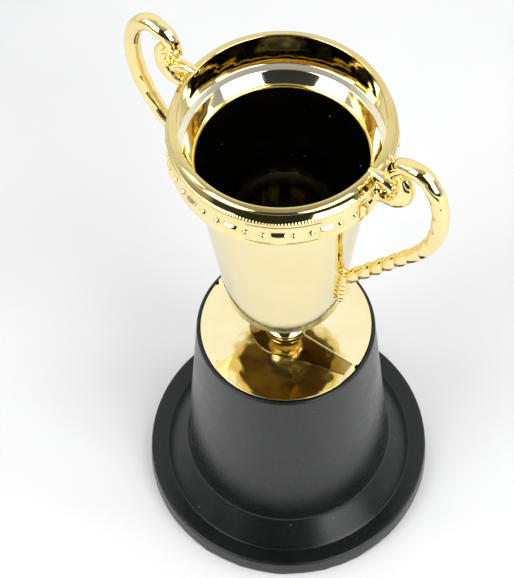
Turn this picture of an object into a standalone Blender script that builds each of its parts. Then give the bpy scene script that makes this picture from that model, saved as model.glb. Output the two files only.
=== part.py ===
"""Small cup trophy: a metallised two-handled cup on a black moulded base.

Metres, +Z up. The origin is the centre of the base's underside, and the two handles lie along X.
The front of the cup faces -Y. Every visible or hidden piece is one named object.
"""
from math import cos, pi, radians, sin

import bmesh
import bpy
from mathutils import Matrix

# ---- driving dimensions -------------------------------------------------------------------------
GAP = 0.0003                    # clearance left between touching pieces

BASE_RADIUS = 0.0325            # foot of the black base
BASE_DRAFT = 0.0004             # the side face leans in by this much
BASE_EDGE = 0.0004              # rounding along the top of the side face
FLANGE_HEIGHT = 0.0051
FLANGE_WIDTH = 0.0039           # from the side face in to the crease
CREASE_DROP = 0.0006            # the flange is dished by this much towards the crease
SLOPE_RUN = 0.0050              # from the crease in to the foot of the cone
CONE_FOOT_HEIGHT = 0.0103
RIM_HEIGHT = 0.0583             # top of the wall round the gold plates
RIM_WALL = 0.0006
BASE_WALL = 0.0018
DECK_THICKNESS = 0.0020         # web under the gold plates
BOSS_RADIUS = 0.0045
BOSS_LENGTH = 0.0110

PAD_THICKNESS = 0.0008
PAD_INSET = 0.0003

PLATE_RADIUS = 0.0180           # gold disc, made of two halves
PLATE_THICKNESS = 0.0010
PLATE_PROUD = 0.0002            # the front half stands this much above the base's rim
PLATE_STEP = 0.0005             # the rear half stands this much above the front half
PLATE_NOTCH = 0.0008            # notch in the rim at both ends of the split
PLATE_BEVEL = 0.0002

SCREW_RADIUS = 0.0013
SCREW_HEAD_RADIUS = 0.0028
SCREW_HEAD_HEIGHT = 0.0016
SCREW_REACH = 0.0090            # how far the screw goes up into the stem
SCREW_SLOT_WIDTH = 0.0007
SCREW_SLOT_LENGTH = 0.0032
SCREW_SLOT_DEPTH = 0.0008
WASHER_RADIUS = 0.0048
WASHER_THICKNESS = 0.0006

KEY_WIDTH = 0.0032              # width of the round flange at the foot of the stem
KEY_HEIGHT = 0.00025            # how far the flange stands above the front plate
KEY_TAB_MARGIN = 0.0012         # the flange's tab ends this far inside the plate's edge
KEY_TAB_END_WIDTH = 0.0029
KEY_TANGENT_ANGLE = radians(-62)
STEM_FOOT_RADIUS = 0.0044
STEM_WAIST_RADIUS = 0.0024
STEM_KNOP_RADIUS = 0.0037
STEM_TOP_RADIUS = 0.0052
STEM_HEIGHT = 0.0170            # from the plates up to the bowl
SPIGOT_RADIUS = 0.0027          # plain ends that locate the stem in the plates and in the bowl
SPIGOT_LENGTH = 0.0018

BOWL_FOOT_RADIUS = 0.0122
BOWL_NECK_RADIUS = 0.01705      # outside, where the flange begins
BOWL_NECK_RISE = 0.0434         # from the bowl's underside to that height
BOWL_CORNER = 0.0006
BOWL_FOOT_WALL = 0.0018         # wall at the floor of the bore, and at its mouth
BOWL_NECK_WALL = 0.00105
BORE_MOUTH_OVER_NECK = 0.0004   # the bore's mouth is this much higher than the neck
BORE_FILLET = 0.0012
FLOOR_THICKNESS = 0.0032
EDGE_RUN = 0.0006               # rounded edge round the bore's mouth
EDGE_RISE = 0.0007
SHOULDER_RUN = 0.0016           # conical shoulder outside that edge
SHOULDER_RISE = 0.0019
SHELF_RUN = 0.0010              # flatter shelf, which stands up inside the collar and centres it
SHELF_RISE = 0.0006
FLANGE_THICKNESS = 0.0005       # rim of the flange that carries the collar
FLANGE_INSET = 0.0002           # the flange ends this far inside the collar's band

COLLAR_WALL = 0.0015            # at the lower edge of the embossed band
COLLAR_LEAN = 0.0006            # the inner wall closes in by this much up to the lip
COLLAR_BAND_TAPER = 0.0001      # the band is narrower at its upper edge by this
COLLAR_BAND_BOTTOM = 0.0034     # heights above the foot of the bowl's flange
COLLAR_BAND_TOP = 0.0099
COLLAR_HEIGHT = 0.0129
COVE_DEPTH = 0.00125            # the cove under the lip, measured in from the band's upper edge
COVE_HEIGHT = 0.0015
LIP_INSET = 0.0007              # from the collar's inner wall to the crest of the lip
LIP_WIDTH = 0.0006
LIP_INNER_DROP = 0.0004         # the lip's inner edge is this far below its crest

HANDLE_REACH = 0.0129           # from the band to the outermost centreline of the loop
HANDLE_TUBE_RADIUS = 0.00165
HANDLE_FOOT_RISE = 0.0169       # where the rope meets the bowl, above the bowl's underside
HANDLE_ARM_RISE = 0.0080        # middle of the arm above the foot of the bowl's flange
HANDLE_TAIL_DROP = 0.0108       # length of the leaf that runs down the bowl
HANDLE_TAIL_RADIUS = 0.0012
SCROLL_THICKNESS = 0.0030
SCROLL_ROUNDING = 0.0010
PEG_RADIUS = 0.0008
PEG_DEPTH = 0.0008

TURN_STEPS = 48                 # facets round the large turned pieces
SMALL_TURN_STEPS = 24

# ---- sizes worked out from the dimensions above ----------------------------------------------------
BASE_BOTTOM = PAD_THICKNESS + GAP
FLANGE_TOP_RADIUS = BASE_RADIUS - BASE_DRAFT
CREASE_RADIUS = FLANGE_TOP_RADIUS - FLANGE_WIDTH
CONE_FOOT_RADIUS = CREASE_RADIUS - SLOPE_RUN
RIM_RADIUS = PLATE_RADIUS + GAP + RIM_WALL
FRONT_PLATE_TOP = RIM_HEIGHT + PLATE_PROUD
FRONT_PLATE_BOTTOM = FRONT_PLATE_TOP - PLATE_THICKNESS
DECK_TOP = FRONT_PLATE_BOTTOM - GAP
DECK_BOTTOM = DECK_TOP - DECK_THICKNESS
BOSS_BOTTOM = DECK_BOTTOM - BOSS_LENGTH
SCREW_HOLE_RADIUS = SCREW_RADIUS + GAP
KEY_RADIUS = STEM_FOOT_RADIUS + KEY_WIDTH
KEY_TAB_LENGTH = PLATE_RADIUS - KEY_TAB_MARGIN
BOWL_BOTTOM = FRONT_PLATE_TOP + PLATE_STEP + STEM_HEIGHT
BORE_FLOOR_RADIUS = BOWL_FOOT_RADIUS - BOWL_FOOT_WALL
BORE_MOUTH_RADIUS = BOWL_NECK_RADIUS - BOWL_NECK_WALL
BORE_MOUTH_RISE = BOWL_NECK_RISE + BORE_MOUTH_OVER_NECK
SHELF_RADIUS = BORE_MOUTH_RADIUS + EDGE_RUN + SHOULDER_RUN + SHELF_RUN
COLLAR_INNER_RADIUS = SHELF_RADIUS + GAP
COLLAR_RADIUS = COLLAR_INNER_RADIUS + COLLAR_WALL
LIP_INNER_RADIUS = COLLAR_INNER_RADIUS - COLLAR_LEAN
LIP_RADIUS = LIP_INNER_RADIUS + LIP_INSET
COLLAR_BOTTOM = BOWL_BOTTOM + BOWL_NECK_RISE
COLLAR_TOP = COLLAR_BOTTOM + COLLAR_HEIGHT
COLLAR_SEAT = COLLAR_BOTTOM + COLLAR_BAND_BOTTOM - GAP
SHELF_TOP = BOWL_BOTTOM + BORE_MOUTH_RISE + EDGE_RISE + SHOULDER_RISE + SHELF_RISE
FOOT_Z = BOWL_BOTTOM + HANDLE_FOOT_RISE
ARM_Z = COLLAR_BOTTOM + HANDLE_ARM_RISE


def body_radius(z):
    """Outer radius of the tapered bowl at height z."""
    share = (z - BOWL_BOTTOM) / BOWL_NECK_RISE
    return BOWL_FOOT_RADIUS + share * (BOWL_NECK_RADIUS - BOWL_FOOT_RADIUS)


# ---- scene, collections and materials --------------------------------------------------------------
for old in list(bpy.data.objects):
    bpy.data.objects.remove(old, do_unlink=True)

trophy = bpy.data.collections.new("cup_trophy")
cutters = bpy.data.collections.new("cutters")
bpy.context.scene.collection.children.link(trophy)
bpy.context.scene.collection.children.link(cutters)


def make_material(name, colour, roughness, metallic=0.0):
    material = bpy.data.materials.new(name)
    material.use_nodes = True
    shader = material.node_tree.nodes["Principled BSDF"]
    shader.inputs["Base Color"].default_value = (*colour, 1.0)
    shader.inputs["Roughness"].default_value = roughness
    shader.inputs["Metallic"].default_value = metallic
    material.diffuse_color = (*colour, 1.0)
    return material


GOLD = (0.93, 0.74, 0.32)
BLACK = (0.015, 0.016, 0.018)
STEEL = (0.55, 0.55, 0.56)


# ---- building blocks -------------------------------------------------------------------------------
def add_object(name, data, material=None, collection=trophy):
    made = bpy.data.objects.new(name, data)
    collection.objects.link(made)
    if material is not None:
        data.materials.append(material)
    if collection is cutters:
        made.hide_render = True
        made.display_type = "WIRE"
    return made


def shade(made, angle=35.0):
    made.data.shade_smooth()
    made.data.set_sharp_from_angle(angle=radians(angle))


def arc(centre_x, centre_z, radius, start, end, steps):
    """Points of an arc in the profile plane, angles in degrees from +X towards +Z."""
    turn = [radians(start + (end - start) * i / steps) for i in range(steps + 1)]
    return [(centre_x + radius * cos(a), centre_z + radius * sin(a)) for a in turn]


def turned(name, profile, steps, material=None, closed=True, collection=trophy):
    """Revolve a profile of (radius, height) points about Z; its outer side runs downwards."""
    data = bpy.data.meshes.new(name)
    count = len(profile)
    edges = [(i, i + 1) for i in range(count - 1)]
    if closed:
        edges.append((count - 1, 0))
    data.from_pydata([(x, 0.0, z) for x, z in profile], edges, [])
    made = add_object(name, data, material, collection)
    screw = made.modifiers.new("turn", "SCREW")
    screw.axis = "Z"
    screw.angle = 2.0 * pi
    screw.steps = steps
    screw.render_steps = steps
    screw.use_merge_vertices = True
    screw.merge_threshold = 0.000005
    screw.use_smooth_shade = True
    return made


def boolean(target, cutter, operation="DIFFERENCE"):
    step = target.modifiers.new(operation.lower(), "BOOLEAN")
    step.operation = operation
    step.solver = "EXACT"
    step.object = cutter


def cylinder(name, radius, start, end, axis="Z", steps=24, collection=cutters, centre=(0.0, 0.0, 0.0)):
    """A round bar from start to end along an axis, through the given centre."""
    data = bpy.data.meshes.new(name)
    shape = bmesh.new()
    bmesh.ops.create_cone(shape, cap_ends=True, segments=steps, radius1=radius, radius2=radius,
                          depth=end - start)
    bmesh.ops.translate(shape, verts=shape.verts, vec=(0.0, 0.0, (start + end) / 2.0))
    if axis == "X":
        bmesh.ops.transform(shape, verts=shape.verts, matrix=Matrix.Rotation(pi / 2.0, 4, "Y"))
    bmesh.ops.translate(shape, verts=shape.verts, vec=centre)
    shape.to_mesh(data)
    shape.free()
    return add_object(name, data, None, collection)


def block(name, low, high, collection=cutters):
    data = bpy.data.meshes.new(name)
    shape = bmesh.new()
    bmesh.ops.create_cube(shape, size=1.0)
    size = [b - a for a, b in zip(low, high)]
    middle = [(a + b) / 2.0 for a, b in zip(low, high)]
    bmesh.ops.scale(shape, verts=shape.verts, vec=size)
    bmesh.ops.translate(shape, verts=shape.verts, vec=middle)
    shape.to_mesh(data)
    shape.free()
    return add_object(name, data, None, collection)


def curve_to_mesh(made, name, collection):
    """Turn a curve object into a welded mesh object, and remove the curve."""
    bpy.context.view_layer.update()
    evaluated = made.evaluated_get(bpy.context.evaluated_depsgraph_get())
    data = bpy.data.meshes.new_from_object(evaluated)
    data.name = name
    shape = bmesh.new()
    shape.from_mesh(data)
    bmesh.ops.remove_doubles(shape, verts=shape.verts, dist=0.000005)
    shape.to_mesh(data)
    shape.free()
    solid = add_object(name, data, None, collection)
    solid.matrix_world = made.matrix_world.copy()
    bpy.data.objects.remove(made, do_unlink=True)
    return solid


def flat_outline(name, points, thickness, smooth=False, rounding=0.0):
    """A flat outline in the XY plane of a curve, thickened both ways and closed."""
    data = bpy.data.curves.new(name, "CURVE")
    data.dimensions = "2D"
    data.fill_mode = "BOTH"
    data.resolution_u = 4
    data.render_resolution_u = 4
    data.extrude = thickness / 2.0 - rounding
    data.bevel_depth = rounding
    data.offset = -rounding
    data.bevel_resolution = 1
    kind = "BEZIER" if smooth else "POLY"
    spline = data.splines.new(kind)
    if smooth:
        spline.bezier_points.add(len(points) - 1)
        for knot, (x, y) in zip(spline.bezier_points, points):
            knot.co = (x, y, 0.0)
            knot.handle_left_type = "AUTO"
            knot.handle_right_type = "AUTO"
    else:
        spline.points.add(len(points) - 1)
        for knot, (x, y) in zip(spline.points, points):
            knot.co = (x, y, 0.0, 1.0)
    spline.use_cyclic_u = True
    return add_object(name, data, None, cutters)


def tube(name, points, radii, sides=3, smooth=4):
    """A tapered tube along a smooth curve through points given as (x, z) in the handle plane."""
    data = bpy.data.curves.new(name, "CURVE")
    data.dimensions = "3D"
    data.bevel_depth = 1.0
    data.bevel_resolution = sides
    data.use_fill_caps = True
    data.resolution_u = smooth
    data.render_resolution_u = smooth
    spline = data.splines.new("BEZIER")
    spline.bezier_points.add(len(points) - 1)
    for knot, (x, z), radius in zip(spline.bezier_points, points, radii):
        knot.co = (x, 0.0, z)
        knot.radius = radius
        knot.handle_left_type = "AUTO"
        knot.handle_right_type = "AUTO"
    return add_object(name, data, None, cutters)


# ---- base ------------------------------------------------------------------------------------------
def build_base_shell():
    """Hollow black moulding, open underneath, with a web and a screw boss inside."""
    rim_round = RIM_WALL / 2.0
    recess = PLATE_RADIUS + GAP
    cone_inner_top = RIM_RADIUS - BASE_WALL
    cone_inner_foot = CONE_FOOT_RADIUS - BASE_WALL
    profile = [(SCREW_HOLE_RADIUS, DECK_TOP), (recess, DECK_TOP)]
    profile += arc(recess + rim_round, RIM_HEIGHT - rim_round, rim_round, 180, 0, 6)
    profile += [(CONE_FOOT_RADIUS, CONE_FOOT_HEIGHT),
                (CREASE_RADIUS, FLANGE_HEIGHT - CREASE_DROP),
                (FLANGE_TOP_RADIUS - 1.5 * BASE_EDGE, FLANGE_HEIGHT)]
    profile += arc(FLANGE_TOP_RADIUS - BASE_EDGE, FLANGE_HEIGHT - BASE_EDGE, BASE_EDGE, 80, 5, 2)
    profile += [(BASE_RADIUS, BASE_BOTTOM),
                (BASE_RADIUS - BASE_WALL, BASE_BOTTOM),
                (FLANGE_TOP_RADIUS - BASE_WALL, FLANGE_HEIGHT - BASE_WALL),
                (CREASE_RADIUS - 0.0004, FLANGE_HEIGHT - CREASE_DROP - BASE_WALL),
                (cone_inner_foot, CONE_FOOT_HEIGHT - 0.0012),
                (cone_inner_top, DECK_BOTTOM),
                (BOSS_RADIUS, DECK_BOTTOM),
                (BOSS_RADIUS, BOSS_BOTTOM),
                (SCREW_HOLE_RADIUS, BOSS_BOTTOM)]
    material = make_material("base_shell", BLACK, 0.35)
    return turned("base_shell", profile, TURN_STEPS, material)


def build_base_pad():
    """Thin sheet under the base."""
    radius = BASE_RADIUS - PAD_INSET
    profile = [(0.0, PAD_THICKNESS), (radius, PAD_THICKNESS), (radius, 0.0), (0.0, 0.0)]
    material = make_material("base_pad", (0.03, 0.03, 0.032), 0.9)
    return turned("base_pad", profile, TURN_STEPS, material, closed=False)


# ---- fastening inside the base ---------------------------------------------------------------------
def build_washer():
    top = BOSS_BOTTOM - GAP
    bottom = top - WASHER_THICKNESS
    profile = [(SCREW_HOLE_RADIUS, top), (WASHER_RADIUS, top),
               (WASHER_RADIUS, bottom), (SCREW_HOLE_RADIUS, bottom)]
    material = make_material("screw_washer", STEEL, 0.35, 1.0)
    return turned("screw_washer", profile, SMALL_TURN_STEPS, material)


def build_screw():
    """Pan-head screw that comes up through the boss into the stem."""
    head_top = BOSS_BOTTOM - WASHER_THICKNESS - 2.0 * GAP
    head_bottom = head_top - SCREW_HEAD_HEIGHT
    tip = DECK_TOP + SCREW_REACH
    profile = [(0.0, tip), (SCREW_RADIUS * 0.6, tip - 0.0004), (SCREW_RADIUS, tip - 0.0014),
               (SCREW_RADIUS, head_top), (SCREW_HEAD_RADIUS, head_top),
               (SCREW_HEAD_RADIUS, head_top - SCREW_HEAD_HEIGHT * 0.45),
               (SCREW_HEAD_RADIUS * 0.8, head_bottom + 0.0002),
               (SCREW_HEAD_RADIUS * 0.6, head_bottom), (0.0, head_bottom)]
    material = make_material("retaining_screw", STEEL, 0.3, 1.0)
    screw = turned("retaining_screw", profile, SMALL_TURN_STEPS, material, closed=False)
    half_length = SCREW_SLOT_LENGTH / 2.0
    half_width = SCREW_SLOT_WIDTH / 2.0
    for index, (x, y) in enumerate(((half_length, half_width), (half_width, half_length))):
        slot = block(f"screw_slot_{index}", (-x, -y, head_bottom - 0.001),
                     (x, y, head_bottom + SCREW_SLOT_DEPTH))
        boolean(screw, slot)
    return screw


# ---- gold plates on the base -----------------------------------------------------------------------
def keyhole_points(grow):
    """Outline of the stem's flange and its tab, on the front side; grow moves it outwards."""
    radius = KEY_RADIUS + grow
    start = pi
    end = 2.0 * pi + KEY_TANGENT_ANGLE
    steps = 18
    round_part = [start + (end - start) * i / steps for i in range(steps + 1)]
    points = [(radius * cos(a), radius * sin(a)) for a in round_part]
    back_edge = grow - GAP / 2.0
    points[0] = (-radius, back_edge)
    points.append((KEY_TAB_LENGTH + grow, -KEY_TAB_END_WIDTH - grow))
    points.append((KEY_TAB_LENGTH + grow, back_edge))
    return points


def keyhole_solid(name, grow, bottom, top):
    flat = flat_outline(name, keyhole_points(grow), top - bottom)
    flat.location = (0.0, 0.0, (top + bottom) / 2.0)
    return curve_to_mesh(flat, name + "_solid", cutters)


def build_plate(name, side, bottom):
    """One half of the gold disc; side is -1 for the front half and +1 for the rear half."""
    top = bottom + PLATE_THICKNESS
    hole = SPIGOT_RADIUS + GAP
    profile = [(hole, top), (PLATE_RADIUS - PLATE_BEVEL, top), (PLATE_RADIUS, top - PLATE_BEVEL),
               (PLATE_RADIUS, bottom), (hole, bottom)]
    plate = turned(name, profile, TURN_STEPS, make_material(name, GOLD, 0.1, 1.0))
    reach = PLATE_RADIUS + 0.005
    edge = side * GAP / 2.0
    other_side = sorted((edge, -side * reach))
    waste = block(name + "_waste", (-reach, other_side[0], bottom - 0.002),
                  (reach, other_side[1], top + 0.002))
    boolean(plate, waste)
    for end in (-1, 1):
        notch = cylinder(f"{name}_notch_{'left' if end < 0 else 'right'}", PLATE_NOTCH,
                         bottom - 0.001, top + 0.001, steps=12,
                         centre=(end * PLATE_RADIUS, 0.0, 0.0))
        boolean(plate, notch)
    return plate


def build_plates():
    front = build_plate("foot_plate_front", -1, FRONT_PLATE_BOTTOM)
    clearance = keyhole_solid("key_clearance", GAP, DECK_TOP, FRONT_PLATE_TOP + 0.001)
    boolean(front, clearance)
    rear = build_plate("foot_plate_rear", 1, FRONT_PLATE_BOTTOM + PLATE_STEP)
    return front, rear


# ---- stem ------------------------------------------------------------------------------------------
def build_stem():
    """Turned stem with a keyhole-shaped flange at its foot and a plain spigot at each end."""
    foot = FRONT_PLATE_TOP + PLATE_STEP + GAP
    top = BOWL_BOTTOM - GAP
    height = top - foot
    waist = foot + 0.30 * height
    knop = foot + 0.52 * height
    upper_waist = foot + 0.70 * height
    spigot_bottom = DECK_TOP + GAP
    pilot_top = DECK_TOP + SCREW_REACH + 0.0006
    edge = 0.0004
    cove_height = waist - foot - edge
    cove_depth = STEM_FOOT_RADIUS - STEM_WAIST_RADIUS
    cove = [(STEM_WAIST_RADIUS + cove_depth * (1.0 - cos(a)), waist - cove_height * sin(a))
            for a in [pi / 2.0 * i / 6 for i in range(7)]]
    flare = [(STEM_WAIST_RADIUS + (STEM_TOP_RADIUS - STEM_WAIST_RADIUS) * (i / 5) ** 2,
              upper_waist + (top - upper_waist) * i / 5) for i in range(5, -1, -1)]
    profile = [(0.0, top + SPIGOT_LENGTH), (SPIGOT_RADIUS - 0.0003, top + SPIGOT_LENGTH),
               (SPIGOT_RADIUS, top + SPIGOT_LENGTH - 0.0003), (SPIGOT_RADIUS, top)]
    profile += flare
    profile += [(STEM_WAIST_RADIUS + (STEM_KNOP_RADIUS - STEM_WAIST_RADIUS) * sin(pi * i / 6),
                 knop + 0.0016 * cos(pi * i / 6)) for i in range(7)]
    profile += cove
    profile += [(STEM_FOOT_RADIUS, foot), (SPIGOT_RADIUS, foot), (SPIGOT_RADIUS, spigot_bottom),
                (SCREW_HOLE_RADIUS, spigot_bottom), (SCREW_HOLE_RADIUS, pilot_top), (0.0, pilot_top)]
    stem = turned("stem", profile, SMALL_TURN_STEPS, make_material("stem", GOLD, 0.1, 1.0),
                  closed=False)
    flange = keyhole_solid("key_flange", 0.0, spigot_bottom + 0.0002, FRONT_PLATE_TOP + KEY_HEIGHT)
    bore = cylinder("key_flange_bore", SPIGOT_RADIUS * 0.85, spigot_bottom - 0.002,
                    FRONT_PLATE_TOP + 0.003, steps=SMALL_TURN_STEPS)
    boolean(flange, bore)
    boolean(stem, flange, "UNION")
    return stem


# ---- bowl and collar -------------------------------------------------------------------------------
def shoulder_points():
    """From the bore's mouth outwards: rounded edge, conical shoulder and shelf."""
    radius, height = BORE_MOUTH_RADIUS, BOWL_BOTTOM + BORE_MOUTH_RISE
    points = [(radius, height), (radius + EDGE_RUN * 0.3, height + EDGE_RISE * 0.6)]
    for run, rise in ((EDGE_RUN, EDGE_RISE), (SHOULDER_RUN, SHOULDER_RISE), (SHELF_RUN, SHELF_RISE)):
        radius, height = radius + run, height + rise
        points.append((radius, height))
    return points


def flange_underside():
    """Underside of the bowl's flange, from its rim in to the tapered wall."""
    rim_z = COLLAR_SEAT - FLANGE_THICKNESS
    rim_radius = COLLAR_RADIUS - FLANGE_INSET - 0.0001
    run = rim_radius - BOWL_NECK_RADIUS
    drop = rim_z - COLLAR_BOTTOM
    return [(rim_radius, rim_z),
            (BOWL_NECK_RADIUS + run * 0.62, rim_z - drop * 0.34),
            (BOWL_NECK_RADIUS + run * 0.25, rim_z - drop * 0.72),
            (BOWL_NECK_RADIUS, COLLAR_BOTTOM)]


def build_bowl():
    """Tapered cup with a flared mouth, and a blind socket for the stem under its floor."""
    floor = BOWL_BOTTOM + FLOOR_THICKNESS
    profile = [(0.0, floor)]
    profile += arc(BORE_FLOOR_RADIUS - BORE_FILLET, floor + BORE_FILLET, BORE_FILLET, -90, 0, 3)
    profile += shoulder_points()
    profile += [(SHELF_RADIUS, COLLAR_SEAT), (COLLAR_RADIUS - FLANGE_INSET, COLLAR_SEAT)]
    profile += flange_underside()
    profile += arc(BOWL_FOOT_RADIUS - BOWL_CORNER, BOWL_BOTTOM + BOWL_CORNER, BOWL_CORNER, 0, -90, 3)
    socket = SPIGOT_RADIUS + GAP
    socket_top = BOWL_BOTTOM + SPIGOT_LENGTH
    profile += [(socket, BOWL_BOTTOM), (socket, socket_top), (0.0, socket_top)]
    bowl = turned("bowl", profile, TURN_STEPS, make_material("bowl", GOLD, 0.08, 1.0), closed=False)
    for side in (-1, 1):
        surface = body_radius(FOOT_Z)
        ends = sorted((side * (surface - PEG_DEPTH - GAP), side * (surface + 0.003)))
        socket_cut = cylinder(f"bowl_peg_socket_{'left' if side < 0 else 'right'}",
                              PEG_RADIUS + GAP, ends[0], ends[1], axis="X", steps=12,
                              centre=(0.0, 0.0, FOOT_Z))
        boolean(bowl, socket_cut)
    return bowl


def collar_outline():
    """Outer side of the collar, from the top of the lip down to the lower edge of the band."""
    band_top = COLLAR_BOTTOM + COLLAR_BAND_TOP
    band_bottom = COLLAR_SEAT + GAP
    lip = arc(LIP_RADIUS, COLLAR_TOP - LIP_WIDTH, LIP_WIDTH, 90, -10, 4)
    band_top_radius = COLLAR_RADIUS - COLLAR_BAND_TAPER
    cove = [(band_top_radius - COVE_DEPTH, band_top + COVE_HEIGHT)]
    band = [(band_top_radius, band_top), (COLLAR_RADIUS, band_bottom + FLANGE_INSET),
            (COLLAR_RADIUS - FLANGE_INSET, band_bottom)]
    return lip + cove + band


def build_collar():
    """Ring on the bowl's flange: embossed band, knurled edge, cove and rolled lip."""
    profile = collar_outline()
    profile += [(COLLAR_INNER_RADIUS, COLLAR_SEAT + GAP), (COLLAR_INNER_RADIUS, SHELF_TOP),
                (LIP_INNER_RADIUS, COLLAR_TOP - LIP_INNER_DROP)]
    collar = turned("rim_collar", profile, TURN_STEPS, make_material("rim_collar", GOLD, 0.1, 1.0))
    for side in (-1, 1):
        ends = sorted((side * (COLLAR_RADIUS - PEG_DEPTH - GAP), side * (COLLAR_RADIUS + 0.003)))
        socket_cut = cylinder(f"collar_peg_socket_{'left' if side < 0 else 'right'}",
                              PEG_RADIUS + GAP, ends[0], ends[1], axis="X", steps=12,
                              centre=(0.0, 0.0, ARM_Z))
        boolean(collar, socket_cut)
    return collar


# ---- handles ---------------------------------------------------------------------------------------
def handle_path():
    """Centreline of the loop in the XZ plane: up the rope, round the bend and back to the scroll."""
    outer = COLLAR_RADIUS + HANDLE_REACH
    middle = ARM_Z + 0.0013
    foot = (body_radius(FOOT_Z) + 0.0006, FOOT_Z - 0.0015)
    elbow = (outer - 0.0039, middle - 0.0143)
    rope = [(foot[0] + (elbow[0] - foot[0]) * i / 3, foot[1] + (elbow[1] - foot[1]) * i / 3)
            for i in range(4)]
    bend = [(outer - 0.0018, middle - 0.0101), (outer - 0.0005, middle - 0.0058),
            (outer, middle - 0.0013), (outer - 0.0003, middle + 0.0031),
            (outer - 0.0013, middle + 0.0064), (outer - 0.0028, middle + 0.0088),
            (outer - 0.0047, middle + 0.0101), (outer - 0.0066, middle + 0.0101),
            (outer - 0.0085, middle + 0.0092), (outer - 0.0099, middle + 0.0072),
            (outer - 0.0104, middle + 0.0048)]
    return rope + bend


def scroll_outline():
    """Outline of the rounded leaf between the collar and the loop, as (x, z) pairs."""
    root = COLLAR_RADIUS
    middle = ARM_Z
    return [(root - 0.0010, middle + 0.0026), (root + 0.0023, middle + 0.0034),
            (root + 0.0038, middle + 0.0064), (root + 0.0055, middle + 0.0082),
            (root + 0.0069, middle + 0.0066), (root + 0.0067, middle + 0.0034),
            (root + 0.0057, middle - 0.0004), (root + 0.0039, middle - 0.0027),
            (root + 0.0016, middle - 0.0029), (root - 0.0010, middle - 0.0018)]


def cup_envelope():
    """Outer shape of bowl and collar, grown by the clearance, to trim the handles with."""
    outline = [(x + GAP, z) for x, z in collar_outline()]
    top = (0.0, COLLAR_TOP + GAP)
    low_z = BOWL_BOTTOM + 0.0006
    profile = [top, (LIP_RADIUS, COLLAR_TOP + GAP)] + outline[1:]
    profile += [(x + GAP, z - GAP) for x, z in flange_underside()]
    profile += [(body_radius(low_z) + GAP, low_z), (0.0, low_z)]
    return turned("cup_envelope", profile, TURN_STEPS, closed=False, collection=cutters)


def build_handle_mesh():
    """The right-hand handle: loop, scroll, leaf down the bowl, and two locating pegs."""
    path = handle_path()
    rope_radius = HANDLE_TUBE_RADIUS * 0.88
    radii = [rope_radius] * 4 + [HANDLE_TUBE_RADIUS] * (len(path) - 5) + [HANDLE_TUBE_RADIUS * 0.8]
    loop = curve_to_mesh(tube("handle_loop", path, radii), "handle_loop_solid", cutters)

    scroll_curve = flat_outline("handle_scroll", scroll_outline(), SCROLL_THICKNESS,
                                smooth=True, rounding=SCROLL_ROUNDING)
    scroll_curve.rotation_euler = (pi / 2.0, 0.0, 0.0)
    scroll = curve_to_mesh(scroll_curve, "handle_scroll_solid", cutters)

    tail_z = FOOT_Z - HANDLE_TAIL_DROP
    tail_points = [(body_radius(z) + 0.0002, z)
                   for z in (FOOT_Z + 0.0004, (FOOT_Z + tail_z) / 2.0, tail_z)]
    tail_radii = [HANDLE_TAIL_RADIUS, HANDLE_TAIL_RADIUS, HANDLE_TAIL_RADIUS * 0.8]
    tail = curve_to_mesh(tube("handle_tail", tail_points, tail_radii, sides=2, smooth=3),
                         "handle_tail_solid", cutters)

    body_peg = cylinder("handle_body_peg", PEG_RADIUS, body_radius(FOOT_Z) - PEG_DEPTH,
                        body_radius(FOOT_Z) + 0.0012, axis="X", steps=12,
                        centre=(0.0, 0.0, FOOT_Z))
    arm_peg = cylinder("handle_arm_peg", PEG_RADIUS, COLLAR_RADIUS - PEG_DEPTH,
                       COLLAR_RADIUS + 0.0015, axis="X", steps=12, centre=(0.0, 0.0, ARM_Z))
    boolean(loop, scroll, "UNION")
    boolean(loop, tail, "UNION")
    boolean(loop, cup_envelope())
    boolean(loop, body_peg, "UNION")
    boolean(loop, arm_peg, "UNION")
    bpy.context.view_layer.update()
    evaluated = loop.evaluated_get(bpy.context.evaluated_depsgraph_get())
    data = bpy.data.meshes.new_from_object(evaluated)
    data.name = "handle"
    return data


def build_handles():
    data = build_handle_mesh()
    right = add_object("handle_right", data, make_material("handle", GOLD, 0.1, 1.0))
    left = bpy.data.objects.new("handle_left", data)
    trophy.objects.link(left)
    left.rotation_euler = (0.0, 0.0, pi)
    return right, left


build_base_shell()
build_base_pad()
build_washer()
build_screw()
build_plates()
build_stem()
build_bowl()
build_collar()
for handle in build_handles():
    shade(handle)
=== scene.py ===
from math import atan2, cos, hypot, pi, radians, sin, tan

import bmesh
import bpy
import numpy as np
from mathutils import Matrix, Vector


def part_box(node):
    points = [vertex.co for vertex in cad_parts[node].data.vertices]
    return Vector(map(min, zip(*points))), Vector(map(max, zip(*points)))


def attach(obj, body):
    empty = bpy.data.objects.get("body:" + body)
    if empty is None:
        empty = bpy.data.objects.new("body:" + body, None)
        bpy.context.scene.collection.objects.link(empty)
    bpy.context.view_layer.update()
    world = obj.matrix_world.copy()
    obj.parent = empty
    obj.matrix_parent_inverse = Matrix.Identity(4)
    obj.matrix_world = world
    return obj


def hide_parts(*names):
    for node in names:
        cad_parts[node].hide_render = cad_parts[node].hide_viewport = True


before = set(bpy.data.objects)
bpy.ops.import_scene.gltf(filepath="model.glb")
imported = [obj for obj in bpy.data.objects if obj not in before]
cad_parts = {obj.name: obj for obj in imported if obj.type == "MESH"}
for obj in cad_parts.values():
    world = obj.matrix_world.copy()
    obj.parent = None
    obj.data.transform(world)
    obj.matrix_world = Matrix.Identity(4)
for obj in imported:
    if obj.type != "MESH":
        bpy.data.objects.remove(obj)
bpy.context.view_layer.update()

MM = 0.001
TAU = 2.0 * pi


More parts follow.
